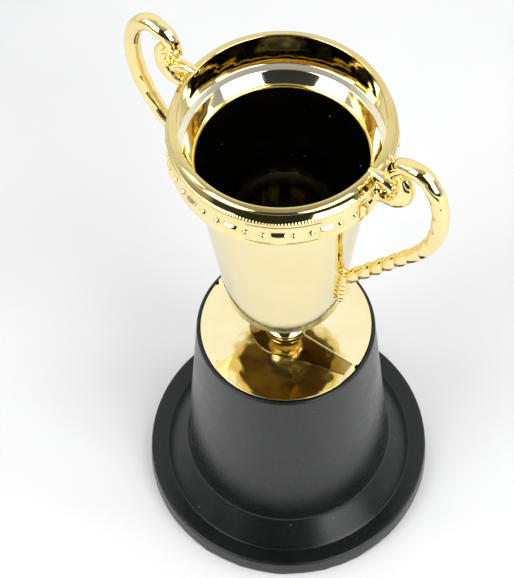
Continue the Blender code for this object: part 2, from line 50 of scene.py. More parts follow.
# ---- places and sizes read from the frame -----------------------------------------------------------
PAD_LOW, PAD_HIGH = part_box("base_pad")
_, SHELL_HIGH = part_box("base_shell")
FRONT_LOW, FRONT_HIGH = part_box("foot_plate_front")
REAR_LOW, REAR_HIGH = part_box("foot_plate_rear")
_, STEM_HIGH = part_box("stem")
BOWL_LOW, BOWL_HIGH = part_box("bowl")
COLLAR_LOW, COLLAR_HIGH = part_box("rim_collar")
_, HANDLE_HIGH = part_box("handle_right")

BASE_RADIUS = SHELL_HIGH.x
RIM_TOP = SHELL_HIGH.z
BOX_TO_RIM = 0.1 * MM           # from the side of the plates' box, which the notches narrow, to their rim
PLATE_RADIUS = FRONT_HIGH.x + BOX_TO_RIM
SPLIT_GAP = 0.06 * MM           # half the seam left between the two plates
BOWL_TOP = BOWL_HIGH.z          # top of the ring inside the collar
FLANGE_RADIUS = BOWL_HIGH.x
COLLAR_RADIUS = COLLAR_HIGH.x
COLLAR_TOP = COLLAR_HIGH.z
COLLAR_SEAT = COLLAR_LOW.z

MOUTH_Z = BOWL_TOP - 3.2 * MM   # mouth of the black bore
MOUTH_RADIUS = FLANGE_RADIUS - 4.8 * MM
NECK_Z = COLLAR_SEAT - 3.4 * MM
NECK_RADIUS = 17.05 * MM
BOWL_FOOT_RADIUS = 12.2 * MM
SPIGOT_RADIUS = 2.7 * MM        # of the stem's two ends
SOCKET_RADIUS = SPIGOT_RADIUS + 0.3 * MM
PILOT_RADIUS = 1.6 * MM         # of the screw's hole in the stem and in the base
LONGEST_SIDE = 0.9 * MM         # of a turned outline, so that the shading follows its curves


# ---- node materials ---------------------------------------------------------------------------------
def add_node(tree, kind, **settings):
    node = tree.nodes.new(kind)
    for key, value in settings.items():
        setattr(node, key, value)
    return node


class Graph:
    """Short helpers for building one material's node tree."""

    def __init__(self, name):
        self.material = bpy.data.materials.new(name)
        self.material.use_nodes = True
        self.tree = self.material.node_tree
        self.shader = self.tree.nodes["Principled BSDF"]
        self.place = self.add("ShaderNodeTexCoord").outputs["Object"]

    def add(self, kind, **settings):
        return add_node(self.tree, kind, **settings)

    def put(self, socket, value):
        if isinstance(value, bpy.types.NodeSocket):
            self.tree.links.new(value, socket)
        else:
            socket.default_value = value

    def stretch(self, scale, turn):
        node = self.add("ShaderNodeMapping")
        self.put(node.inputs["Vector"], self.place)
        node.inputs["Rotation"].default_value = turn
        node.inputs["Scale"].default_value = scale
        return node.outputs["Vector"]

    def noise(self, size, detail=2.0, rough=0.5, twist=0.0, vector=None):
        """Noise whose features are about size metres across."""
        node = self.add("ShaderNodeTexNoise")
        self.put(node.inputs["Vector"], self.place if vector is None else vector)
        node.inputs["Scale"].default_value = 1.0 / size
        node.inputs["Detail"].default_value = detail
        node.inputs["Roughness"].default_value = rough
        node.inputs["Distortion"].default_value = twist
        return node.outputs["Fac"]

    def cells(self, size):
        node = self.add("ShaderNodeTexVoronoi")
        self.put(node.inputs["Vector"], self.place)
        node.inputs["Scale"].default_value = 1.0 / size
        return node.outputs["Distance"], node.outputs["Color"]

    def span(self, value, low, high, to_low, to_high):
        node = self.add("ShaderNodeMapRange")
        self.put(node.inputs["Value"], value)
        for key, number in zip(("From Min", "From Max", "To Min", "To Max"), (low, high, to_low, to_high)):
            node.inputs[key].default_value = number
        return node.outputs["Result"]

    def maths(self, operation, first, second):
        node = self.add("ShaderNodeMath", operation=operation)
        self.put(node.inputs[0], first)
        self.put(node.inputs[1], second)
        return node.outputs[0]

    def blend(self, share, first, second):
        node = self.add("ShaderNodeMix", data_type="RGBA")
        self.put(node.inputs["Factor"], share)
        for socket, value in ((node.inputs[6], first), (node.inputs[7], second)):
            self.put(socket, value if isinstance(value, bpy.types.NodeSocket) else (*value, 1.0))
        return node.outputs[2]

    def bump(self, height, distance, strength=1.0, after=None):
        node = self.add("ShaderNodeBump")
        self.put(node.inputs["Height"], height)
        node.inputs["Distance"].default_value = distance
        node.inputs["Strength"].default_value = strength
        if after is not None:
            self.put(node.inputs["Normal"], after)
        return node.outputs["Normal"]

    def specks(self, cell, radius, share):
        """Small round specks in this share of the cells; the radius is a part of the cell's size."""
        distance, colour = self.cells(cell)
        near = self.span(distance, radius * 0.6, radius, 1.0, 0.0)
        split = self.add("ShaderNodeSeparateColor")
        self.put(split.inputs[0], colour)
        chosen = self.span(split.outputs[0], 1.0 - share, 1.0 - share + 0.01, 0.0, 1.0)
        return self.maths("MULTIPLY", near, chosen)

    def scratches(self, turn, length, width, cover):
        """Fine straight scratches along one direction, broken up by a larger noise."""
        lines = self.noise(width, 0.0, vector=self.stretch((1.0, width / length, 1.0), (0.0, 0.0, turn)))
        thin = self.span(lines, 0.74, 0.80, 0.0, 1.0)
        patches = self.span(self.noise(length * 1.7, 1.0), 1.0 - cover, 1.05 - cover, 0.0, 1.0)
        return self.maths("MULTIPLY", thin, patches)


def metallised(name, pale, deep, rough_low, rough_high, wave, pits=0.0, scratched=0.0):
    """Vacuum-metallised plastic: a mirror with slow waves and faint marks; waves and pits in millimetres."""
    graph = Graph(name)
    shader = graph.shader
    shader.inputs["Metallic"].default_value = 1.0
    tone = graph.span(graph.noise(9.0 * MM, 2.0), 0.35, 0.65, 0.0, 1.0)
    colour = graph.blend(tone, pale, deep)
    marks = graph.specks(2.3 * MM, 0.055, 0.22)
    colour = graph.blend(graph.span(marks, 0.0, 1.0, 0.0, 0.45), colour, tuple(0.55 * v for v in deep))
    rough = graph.span(graph.noise(3.0 * MM, 4.0, 0.6), 0.3, 0.7, rough_low, rough_high)
    normal = graph.bump(graph.noise(4.5 * MM, 1.0), wave * MM, 0.35)
    normal = graph.bump(graph.noise(0.35 * MM, 2.0), 0.002 * MM, 0.5, normal)
    if pits > 0.0:
        normal = graph.bump(graph.noise(1.6 * MM, 3.0, 0.65, 0.6), pits * MM, 0.6, normal)
    if scratched > 0.0:
        total = None
        for turn in (0.35, 1.25, 2.2):
            line = graph.scratches(turn, 9.0 * MM, 0.16 * MM, scratched)
            total = line if total is None else graph.maths("MAXIMUM", total, line)
        rough = graph.maths("ADD", rough, graph.span(total, 0.0, 1.0, 0.0, 0.25))
        colour = graph.blend(graph.span(total, 0.0, 1.0, 0.0, 0.6), colour, tuple(0.45 * v for v in deep))
        normal = graph.bump(total, -0.01 * MM, 0.6, normal)
    graph.put(shader.inputs["Base Color"], colour)
    graph.put(shader.inputs["Roughness"], rough)
    graph.put(shader.inputs["Normal"], normal)
    return graph.material


def moulded_plastic():
    """Black injection-moulded plastic: satin, dusty, lightly scratched."""
    graph = Graph("black_plastic_satin")
    shader = graph.shader
    shader.inputs["Specular IOR Level"].default_value = 0.40
    tone = graph.span(graph.noise(14.0 * MM, 3.0), 0.3, 0.7, 0.0, 1.0)
    colour = graph.blend(tone, (0.0028, 0.0036, 0.0038), (0.0055, 0.0066, 0.0068))
    dust = graph.maths("MAXIMUM", graph.specks(3.1 * MM, 0.05, 0.3), graph.specks(5.3 * MM, 0.04, 0.4))
    colour = graph.blend(graph.span(dust, 0.0, 1.0, 0.0, 0.5), colour, (0.32, 0.32, 0.32))
    scratch = graph.maths("MAXIMUM", graph.scratches(0.5, 12.0 * MM, 0.13 * MM, 0.34),
                          graph.scratches(2.0, 9.0 * MM, 0.13 * MM, 0.3))
    colour = graph.blend(graph.span(scratch, 0.0, 1.0, 0.0, 0.16), colour, (0.22, 0.22, 0.23))
    rough = graph.span(graph.noise(5.0 * MM, 4.0, 0.6), 0.3, 0.7, 0.24, 0.31)
    rough = graph.maths("ADD", rough, graph.span(scratch, 0.0, 1.0, 0.0, 0.15))
    normal = graph.bump(graph.noise(0.25 * MM, 2.0), 0.004 * MM, 0.5)
    normal = graph.bump(scratch, -0.01 * MM, 0.5, normal)
    graph.put(shader.inputs["Base Color"], colour)
    graph.put(shader.inputs["Roughness"], rough)
    graph.put(shader.inputs["Normal"], normal)
    return graph.material


def glossy_bore():
    """Inside of the cup: unplated black plastic, glossy, with a few specks."""
    graph = Graph("black_plastic_gloss")
    shader = graph.shader
    tone = graph.span(graph.noise(7.0 * MM, 3.0), 0.3, 0.7, 0.0, 1.0)
    colour = graph.blend(tone, (0.0012, 0.0012, 0.001), (0.003, 0.0028, 0.002))
    dust = graph.maths("MAXIMUM", graph.specks(3.4 * MM, 0.07, 0.3), graph.specks(2.1 * MM, 0.06, 0.12))
    colour = graph.blend(graph.span(dust, 0.0, 1.0, 0.0, 0.9), colour, (0.85, 0.75, 0.4))
    shader.inputs["Specular IOR Level"].default_value = 1.0
    shader.inputs["IOR"].default_value = 1.65
    shader.inputs["Specular Tint"].default_value = (1.0, 0.93, 0.62, 1.0)
    graph.put(shader.inputs["Base Color"], colour)
    graph.put(shader.inputs["Roughness"], graph.span(graph.noise(2.0 * MM, 3.0), 0.3, 0.7, 0.03, 0.07))
    graph.put(shader.inputs["Normal"], graph.bump(graph.noise(3.0 * MM, 2.0), 0.05 * MM, 0.3))
    return graph.material


def foam_sheet():
    """Thin dark foam under the base, matt and slightly ragged."""
    graph = Graph("pad_foam")
    tone = graph.span(graph.noise(0.6 * MM, 4.0, 0.7), 0.3, 0.7, 0.0, 1.0)
    colour = graph.blend(tone, (0.010, 0.010, 0.011), (0.04, 0.04, 0.042))
    graph.put(graph.shader.inputs["Base Color"], colour)
    graph.put(graph.shader.inputs["Roughness"], graph.span(tone, 0.0, 1.0, 0.75, 0.95))
    graph.put(graph.shader.inputs["Normal"], graph.bump(graph.noise(0.5 * MM, 3.0), 0.08 * MM, 0.8))
    return graph.material


def plated_steel():
    """Zinc-plated steel of the hidden screw and washer."""
    graph = Graph("zinc_plated_steel")
    graph.shader.inputs["Metallic"].default_value = 1.0
    tone = graph.span(graph.noise(0.9 * MM, 4.0, 0.65), 0.3, 0.7, 0.0, 1.0)
    graph.put(graph.shader.inputs["Base Color"], graph.blend(tone, (0.46, 0.47, 0.5), (0.7, 0.69, 0.66)))
    graph.put(graph.shader.inputs["Roughness"], graph.span(tone, 0.0, 1.0, 0.22, 0.42))
    graph.put(graph.shader.inputs["Normal"], graph.bump(graph.noise(0.2 * MM, 3.0), 0.01 * MM, 0.6))
    return graph.material


GOLD_BODY = metallised("gold_body", (0.91, 0.79, 0.44), (0.89, 0.76, 0.40), 0.06, 0.11, wave=0.035)
# Dark gold of painted shade, for the underside of the bowl and the top of the stem beneath it.
GOLD_SHADED_UNDERSIDE = metallised("gold_underside_painted_shade", (0.12, 0.075, 0.012), (0.035, 0.02, 0.004), 0.12, 0.3, wave=0.2)
GOLD_RIM = metallised("gold_rim", (0.93, 0.79, 0.41), (0.90, 0.74, 0.34), 0.05, 0.09, wave=0.08)
GOLD_INNER = metallised("gold_inner_wall", (0.93, 0.77, 0.33), (0.90, 0.71, 0.24), 0.04, 0.08, wave=0.2)
GOLD_EDGE = metallised("gold_bore_edge", (0.98, 0.82, 0.28), (0.95, 0.75, 0.18), 0.10, 0.16, wave=0.1)
GOLD_PLATE = metallised("gold_plate", (0.95, 0.86, 0.56), (0.92, 0.80, 0.46), 0.06, 0.13, wave=0.45,
                        pits=0.03, scratched=0.42)
# The key flange is a darker gold than the plates: painted shade under the bowl.
GOLD_KEY_SHADE = metallised("gold_key_flange_painted_shade", (0.50, 0.37, 0.13), (0.30, 0.21, 0.06), 0.06, 0.14, wave=0.5,
                      pits=0.02, scratched=0.3)
GOLD_HANDLE = metallised("gold_handle", (0.93, 0.79, 0.41), (0.90, 0.73, 0.32), 0.05, 0.09, wave=0.06)
SILVER = metallised("silver_shoulder", (0.92, 0.86, 0.67), (0.86, 0.79, 0.57), 0.05, 0.10, wave=0.2)
# The lip and its cove get a darker gold than the band: painted shade.
GOLD_LIP_SHADE = metallised("gold_lip_painted_shade", (0.76, 0.63, 0.28), (0.70, 0.57, 0.22), 0.05, 0.09, wave=0.08)
BLACK_SATIN = moulded_plastic()
BLACK_GLOSS = glossy_bore()
FOAM = foam_sheet()
STEEL = plated_steel()


# ---- mesh helpers -----------------------------------------------------------------------------------
ON_AXIS = 1e-7                  # a point of an outline nearer the axis than this becomes a pole


def link(name, mesh, materials):
    made = bpy.data.objects.new(name, mesh)
    bpy.context.scene.collection.objects.link(made)
    for material in materials:
        mesh.materials.append(material)
    return made


def stand_for(piece, node):
    """The piece takes the place of a CAD node, which is hidden, and moves with the body."""
    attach(piece, "root")
    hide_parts(node)


def rounded(corners, steps):
    """A closed outline from (radius, height, rounding) corners."""
    points = []
    for index, (x, z, rounding) in enumerate(corners):
        here = Vector((x, z))
        before = Vector(corners[index - 1][:2]) - here
        after = Vector(corners[(index + 1) % len(corners)][:2]) - here
        if rounding <= 0.0:
            points.append((x, z))
            continue
        before.normalize()
        after.normalize()
        half = before.angle(after) / 2.0
        centre = here + (before + after).normalized() * rounding / sin(half)
        start = here + before * rounding / tan(half) - centre
        end = here + after * rounding / tan(half) - centre
        first = atan2(start.y, start.x)
        sweep_angle = (atan2(end.y, end.x) - first + pi) % TAU - pi
        for step in range(steps + 1):
            turn = first + sweep_angle * step / steps
            points.append((centre.x + rounding * cos(turn), centre.y + rounding * sin(turn)))
    return points


def finely(points, slots):
    """Cuts each side of a closed outline into pieces no longer than LONGEST_SIDE."""
    fine_points, fine_slots = [], []
    for index, (x, z) in enumerate(points):
        x_next, z_next = points[(index + 1) % len(points)]
        pieces = max(1, int(np.ceil(hypot(x_next - x, z_next - z) / LONGEST_SIDE)))
        if x < ON_AXIS and x_next < ON_AXIS:
            pieces = 1
        for step in range(pieces):
            share = step / pieces
            fine_points.append((x + (x_next - x) * share, z + (z_next - z) * share))
            fine_slots.append(slots[index])
    return fine_points, fine_slots


def revolve(name, points, slots, materials, segments, relief=None, sharp=38.0):
    """Turns a closed outline about Z; relief(angles, radius, height, slot) may move its rings.

    Each point's slot is the material of the side after it.
    """
    angles = np.linspace(0.0, TAU, segments, endpoint=False)
    vertices, starts, poles = [], [], []
    total = 0
    for (x, z), slot_index in zip(points, slots):
        starts.append(total)
        if x < ON_AXIS:
            poles.append(True)
            vertices.append(np.array([[0.0, 0.0, z]]))
            total += 1
            continue
        poles.append(False)
        radius = np.full(segments, x)
        height = np.full(segments, z)
        if relief is not None:
            radius, height = relief(angles, radius, height, slot_index)
        vertices.append(np.column_stack((radius * np.cos(angles), radius * np.sin(angles), height)))
        total += segments
    faces, face_slots = [], []
    for index, start in enumerate(starts):
        other = (index + 1) % len(starts)
        below = starts[other]
        if poles[index] and poles[other]:
            continue
        for j in range(segments):
            k = (j + 1) % segments
            if poles[index]:
                faces.append((start, below + j, below + k))
            elif poles[other]:
                faces.append((start + j, below, start + k))
            else:
                faces.append((start + j, below + j, below + k, start + k))
        face_slots.extend([slots[index]] * segments)
    mesh = bpy.data.meshes.new(name)
    mesh.from_pydata(np.vstack(vertices).tolist(), [], faces)
    mesh.polygons.foreach_set("material_index", face_slots)
    mesh.shade_smooth()
    mesh.set_sharp_from_angle(angle=radians(sharp))
    mesh.update()
    return link(name, mesh, materials)


def smoothstep(value, low, high):
    share = np.clip((value - low) / (high - low), 0.0, 1.0)
    return share * share * (3.0 - 2.0 * share)


def turn_gap(angles, centre):
    """Signed angle from centre, between -pi and pi."""
    return (angles - centre + pi) % TAU - pi


# ---- base -------------------------------------------------------------------------------------------
def make_base():
    """Hollow black moulding with a dished flange, a slope, a tall cone and a thin rim."""
    wall = 1.8 * MM
    web = 2.0 * MM
    boss_radius, boss_length = 4.5 * MM, 11.0 * MM
    rim_radius, ceiling_radius = 18.9 * MM, 17.1 * MM
    recess = PLATE_RADIUS + 0.12 * MM
    deck = FRONT_LOW.z - 0.3 * MM
    under_deck = deck - web
    boss_end = under_deck - boss_length
    bottom = PAD_HIGH.z + 0.05 * MM
    flange = 5.1 * MM
    crease = BASE_RADIUS - 4.3 * MM
    cone_foot = BASE_RADIUS - 9.3 * MM
    cone_foot_height = 10.3 * MM
    outside = [(PILOT_RADIUS, deck, 0.0), (recess, deck, 0.0),
               (recess, RIM_TOP, 0.22 * MM), (rim_radius, RIM_TOP, 0.38 * MM),
               (cone_foot, cone_foot_height, 1.6 * MM), (crease, flange - 0.6 * MM, 0.25 * MM),
               (BASE_RADIUS - 0.4 * MM, flange, 0.45 * MM), (BASE_RADIUS, bottom, 0.12 * MM)]
    inside = [(BASE_RADIUS - wall, bottom, 0.1 * MM),
              (BASE_RADIUS - wall - 0.4 * MM, flange - wall, 0.3 * MM),
              (crease - 0.4 * MM, flange - 0.6 * MM - wall, 0.3 * MM),
              (cone_foot - wall, cone_foot_height - 1.2 * MM, 1.0 * MM),
              (ceiling_radius, under_deck, 0.4 * MM), (boss_radius, under_deck, 0.4 * MM),
              (boss_radius, boss_end, 0.2 * MM), (PILOT_RADIUS, boss_end, 0.1 * MM)]
    points = rounded(outside + inside, 6)

    def relief(angles, radius, height, slot_index):
        """Slight raggedness along the bottom edge."""
        low = smoothstep(-height, -bottom - 0.8 * MM, -bottom - 0.1 * MM)
        ragged = np.sin(23.0 * angles) * np.sin(7.0 * angles + 1.0) + 0.6 * np.sin(61.0 * angles)
        return radius - low * np.abs(0.05 * MM * ragged), height

    points, slots = finely(points, [0] * len(points))
    piece = revolve("moulded_base", points, slots, [BLACK_SATIN], 320, relief, sharp=50.0)
    stand_for(piece, "base_shell")


def make_sheet():
    """Thin foam sheet with a roughly cut edge."""
    radius = PAD_HIGH.x
    points = rounded([(0.0, PAD_HIGH.z, 0.0), (radius, PAD_HIGH.z, 0.12 * MM),
                      (radius, PAD_LOW.z, 0.1 * MM), (0.0, PAD_LOW.z, 0.0)], 3)

    def relief(angles, ring, height, slot_index):
        cut = np.sin(17.0 * angles + 0.4) * np.sin(5.0 * angles)
        cut = cut + 0.5 * np.sin(47.0 * angles) * np.sin(3.0 * angles)
        return ring + 0.1 * MM * cut, height

    piece = revolve("foam_sheet", points, [0] * len(points), [FOAM], 256, relief)
    stand_for(piece, "base_pad")


# ---- gold plates ------------------------------------------------------------------------------------
def prism(name, outline, bottom, top, material, bevel):
    """A flat plate of this outline with softly rounded edges."""
    shape = bmesh.new()
    low = [shape.verts.new((x, y, bottom)) for x, y in outline]
    high = [shape.verts.new((x, y, top)) for x, y in outline]
    shape.faces.new(high)
    shape.faces.new(list(reversed(low)))
    for i in range(len(outline)):
        j = (i + 1) % len(outline)
        shape.faces.new((low[i], low[j], high[j], high[i]))
    bmesh.ops.recalc_face_normals(shape, faces=shape.faces)
    mesh = bpy.data.meshes.new(name)
    shape.to_mesh(mesh)
    shape.free()
    mesh.shade_smooth()
    piece = link(name, mesh, [material])
    edge = piece.modifiers.new("edge", "BEVEL")
    edge.width = bevel
    edge.segments = 3
    edge.limit_method = "ANGLE"
    edge.angle_limit = radians(40.0)
    edge.harden_normals = True
    return piece


def ring_arc(centre, radius, start, end, steps):
    """Points of an arc about a centre on the X axis, angles in degrees."""
    turn = np.radians(np.linspace(start, end, steps + 1))
    return [(centre + radius * cos(a), radius * sin(a)) for a in turn]


KEY_RADIUS = 7.6 * MM           # of the round flange at the stem's foot
TAB_END = PLATE_RADIUS - 1.2 * MM
TAB_WIDTH = 2.9 * MM
TAB_START = -62.0               # where the tab leaves the round flange, in degrees from +X
NOTCH = 0.45 * MM               # radius of the notches at the seam's ends
KEY_FIT = 0.01 * MM             # between the flange and the plate that it lies in
PLATE_EDGE = 0.14 * MM


def key_outline(grow):
    """Round flange with a tab towards +X; the straight back edge lies along the split."""
    points = ring_arc(0.0, KEY_RADIUS + grow, 180.0, 360.0 + TAB_START, 60)
    points[0] = (points[0][0], -SPLIT_GAP)
    points.append((TAB_END + grow, -TAB_WIDTH - grow))
    points.append((TAB_END + grow, -SPLIT_GAP))
    return points


def half_disc(side):
    """Half a disc's rim, the notches at the left and right end of its seam, and the seam's place."""
    notch_turn = 2.0 * np.degrees(np.arcsin(NOTCH / 2.0 / PLATE_RADIUS))
    seam = side * SPLIT_GAP
    rim = ring_arc(0.0, PLATE_RADIUS, side * notch_turn, side * (180.0 - notch_turn), 150)
    left = ring_arc(-PLATE_RADIUS, NOTCH, side * 80.0, side * 4.0, 8)
    right = ring_arc(PLATE_RADIUS, NOTCH, side * 176.0, side * 100.0, 8)
    return rim, left, right, seam


def make_plates():
    """The disc's two halves: the rear one round the stem's spigot, the front one round its flange."""
    rim, left, right, seam = half_disc(1)
    half_hole = [(x, max(y, seam)) for x, y in ring_arc(0.0, SOCKET_RADIUS, 180.0, 0.0, 24)]
    outline = rim + left + half_hole + right
    rear = prism("rear_foot_plate", outline, REAR_LOW.z, REAR_HIGH.z, GOLD_PLATE, PLATE_EDGE)
    stand_for(rear, "foot_plate_rear")

    rim, left, right, seam = half_disc(-1)
    outline = rim + left + key_outline(KEY_FIT)[:-1] + [(TAB_END + KEY_FIT, seam)] + right
    front = prism("front_foot_plate", outline, FRONT_LOW.z, FRONT_HIGH.z, GOLD_PLATE, PLATE_EDGE)
    stand_for(front, "foot_plate_front")


# ---- stem -------------------------------------------------------------------------------------------
def make_stem():
    """Turned stem and its keyhole flange, with a blind hole for the screw."""
    foot = REAR_HIGH.z + 0.03 * MM
    top = BOWL_LOW.z - 0.05 * MM
    height = top - foot
    waist = foot + 0.30 * height
    knop = foot + 0.52 * height
    upper = foot + 0.70 * height
    narrow, thick, wide = 2.4 * MM, 3.7 * MM, 5.2 * MM
    knop_half = 1.6 * MM
    foot_radius, foot_edge = 4.4 * MM, 0.5 * MM
    below = FRONT_LOW.z + 0.1 * MM
    hole_top = FRONT_LOW.z + 9.0 * MM
    shade_rings = 7                  # of the flare's twelve, from the top, that get the dark gold of painted shade under the bowl
    points = [(0.0, STEM_HIGH.z), (SPIGOT_RADIUS, STEM_HIGH.z), (SPIGOT_RADIUS, top), (wide, top)]
    dark = len(points) + shade_rings
    for i in range(11, -1, -1):
        share = i / 12.0
        points.append((narrow + (wide - narrow) * share ** 2.2, upper + (top - upper) * share))
    for i in range(1, 16):
        turn = pi * i / 16.0
        points.append((narrow + (thick - narrow) * sin(turn), knop + knop_half * cos(turn)))
    cove = waist - foot - foot_edge
    for i in range(15):
        turn = pi / 2.0 * i / 14.0
        points.append((narrow + (foot_radius - narrow) * (1.0 - cos(turn)), waist - cove * sin(turn)))
    points += [(foot_radius, foot), (SPIGOT_RADIUS, foot), (SPIGOT_RADIUS, below),
               (PILOT_RADIUS, below), (PILOT_RADIUS, hole_top), (0.0, hole_top)]
    slots = [1] * dark + [0] * (len(points) - dark)
    stem = revolve("turned_stem", points, slots, [GOLD_HANDLE, GOLD_SHADED_UNDERSIDE], 160, sharp=32.0)
    stand_for(stem, "stem")

    flange_top = FRONT_HIGH.z + 0.25 * MM
    flange = prism("stem_key_flange", key_outline(0.0), below, flange_top, GOLD_KEY_SHADE, 0.12 * MM)
    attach(flange, "root")


# ---- bowl -------------------------------------------------------------------------------------------
OUTSIDE, SHOULDER, EDGE, BORE, SHADED_UNDER = range(5)     # the bowl's material slots; the last is the dark gold of painted shade on the underside
# From the bore's mouth outwards: length in millimetres, slope in degrees at both ends, pieces, finish.
SHOULDER_BENDS = ((0.96, 86.0, 22.0, 8, EDGE), (0.12, 22.0, 46.0, 2, EDGE), (2.42, 46.0, 52.0, 12, SHOULDER),
                  (0.22, 52.0, 28.0, 4, SHOULDER), (1.05, 28.0, 23.0, 6, SHOULDER),
                  (0.42, 23.0, 84.0, 7, SHOULDER))


def bent_line(radius, height, bends):
    """Points along a line of bends, with each one's finish, and the place where the line ends."""
    points, slots = [], []
    for length, first, last, pieces, slot_index in bends:
        for i in range(pieces):
            points.append((radius, height))
            slots.append(slot_index)
            slope = radians(first + (last - first) * (i + 0.5) / pieces)
            radius += length * MM / pieces * cos(slope)
            height += length * MM / pieces * sin(slope)
    return points, slots, (radius, height)


def make_bowl():
    """Tapered cup: black bore, gold edge round it, hollow silver shoulder, flange and gold outside."""
    floor = BOWL_LOW.z + 3.2 * MM
    floor_radius, fillet = 10.4 * MM, 3.4 * MM
    ring = FLANGE_RADIUS - 1.23 * MM
    flange_edge, corner = 0.5 * MM, 0.3 * MM
    shade_radius = 10.2 * MM
    socket_top = BOWL_LOW.z + 1.8 * MM

    points, slots = [(0.0, floor)], [BORE]
    for i in range(13):
        turn = radians(-90.0 + 90.0 * i / 12.0)
        points.append((floor_radius - fillet + fillet * cos(turn), floor + fillet + fillet * sin(turn)))
        slots.append(BORE)
    points.append((MOUTH_RADIUS - 0.1 * MM, MOUTH_Z - 2.0 * MM))
    slots.append(BORE)
    bent, bent_slots, end = bent_line(MOUTH_RADIUS, MOUTH_Z - 0.1 * MM, SHOULDER_BENDS)
    points += bent + [end, (ring, end[1]), (ring, COLLAR_SEAT), (FLANGE_RADIUS, COLLAR_SEAT - 0.05 * MM)]
    slots += bent_slots + [OUTSIDE] * 4
    drop = COLLAR_SEAT - flange_edge - NECK_Z
    for i in range(13):
        share = 1.0 - i / 12.0
        points.append((NECK_RADIUS + (FLANGE_RADIUS - NECK_RADIUS) * share ** 1.55, NECK_Z + drop * share))
        slots.append(OUTSIDE)
    for i in range(7):
        turn = radians(-90.0 * i / 6.0)
        points.append((BOWL_FOOT_RADIUS - corner + corner * cos(turn),
                       BOWL_LOW.z + corner + corner * sin(turn)))
        slots.append(OUTSIDE)
    # From here in to the socket, the underside has the dark gold of painted shade.
    points += [(shade_radius, BOWL_LOW.z), (SOCKET_RADIUS, BOWL_LOW.z),
               (SOCKET_RADIUS, socket_top), (0.0, socket_top)]
    slots += [SHADED_UNDER] * 4
    points, slots = finely(points, slots)
    finishes = [GOLD_BODY, SILVER, GOLD_EDGE, BLACK_GLOSS, GOLD_SHADED_UNDERSIDE]
    bowl = revolve("cup_bowl", points, slots, finishes, 320, sharp=40.0)
    stand_for(bowl, "bowl")


# ---- collar -----------------------------------------------------------------------------------------
BAND, INNER, LIP = range(3)     # the collar's material slots
# From the inner wall over the top: length in millimetres, slope in degrees at both ends, pieces, finish.
LIP_BENDS = ((0.5, 86.0, -8.0, 6, LIP), (1.12, -13.0, -38.0, 10, LIP), (0.2, -40.0, -100.0, 4, LIP))
INNER_WALL = (19.50, 19.30, 19.08, 18.84)   # radii of the inner wall in millimetres, from its foot up
UNITS = 15                      # repeats of the embossed pattern round the band
FIRST_UNIT = radians(-116.6)    # bearing of the first pair of dots
DOT_OFFSET = radians(4.3)       # of the two dots from the middle of their unit
DOT_RADIUS = 0.68 * MM
DOT_FLATTENED = 0.8
PLAQUE_HALF = 1.5 * MM
PLAQUE_DEPTH = 0.6 * MM
TEETH = 216                     # of the knurl along the band's upper edge
TOOTH_HALF = 0.42 * MM
TOOTH_DEPTH = 0.26 * MM
BEADING_DEPTH = 0.09 * MM
BAND_HEIGHT = 6.5 * MM


def embossing(angles, up):
    """How proud the dots and plaques stand, up being the height above the pattern's middle."""
    proud = np.zeros_like(angles)
    for unit in range(UNITS):
        centre = FIRST_UNIT + TAU * unit / UNITS
        for offset in (-DOT_OFFSET, DOT_OFFSET):
            across = turn_gap(angles, centre + offset) * COLLAR_RADIUS
            away = np.hypot(across, up)
            dot = DOT_FLATTENED * np.sqrt(np.clip(DOT_RADIUS ** 2 - away ** 2, 0.0, None))
            proud = np.maximum(proud, dot)
        across = np.abs(turn_gap(angles, centre + pi / UNITS)) * COLLAR_RADIUS
        beside = 1.0 - smoothstep(across, PLAQUE_HALF - 0.3 * MM, PLAQUE_HALF)
        wedge = smoothstep(up, -2.1 * MM, -1.6 * MM) * (1.0 - smoothstep(up, 0.5 * MM, 1.35 * MM))
        crown = 0.75 + 0.25 * np.cos(across / PLAQUE_HALF * pi / 2.0)
        proud = np.maximum(proud, PLAQUE_DEPTH * beside * wedge * crown)
    return proud


def collar_relief(angles, radius, height, slot_index):
    """Embossed band with two beadings and a knurled upper edge, and a slightly lumpy inner wall."""
    up = height - COLLAR_SEAT
    if slot_index == INNER:
        share = smoothstep(up, 1.6 * MM, 2.6 * MM) * (1.0 - smoothstep(up, 4.5 * MM, 7.0 * MM))
        lumps = np.sin(31.0 * angles + 0.7) + 0.8 * np.sin(19.0 * angles + 2.0) + 0.3 * np.sin(53.0 * angles)
        return radius + share * 0.016 * MM * lumps, height
    if slot_index != BAND:
        return radius, height
    proud = embossing(angles, up - 2.6 * MM)
    tooth = np.abs(np.cos(angles * TEETH / 2.0))
    row = np.clip(1.0 - ((up - BAND_HEIGHT + 0.15 * MM) / TOOTH_HALF) ** 2, 0.0, None) ** 0.5
    proud = proud + TOOTH_DEPTH * row * (0.25 + 0.75 * tooth)
    for place, half in ((0.35 * MM, 0.22 * MM), (5.25 * MM, 0.16 * MM)):
        proud = proud + BEADING_DEPTH * np.clip(1.0 - ((up - place) / half) ** 2, 0.0, None)
    return radius + proud, height


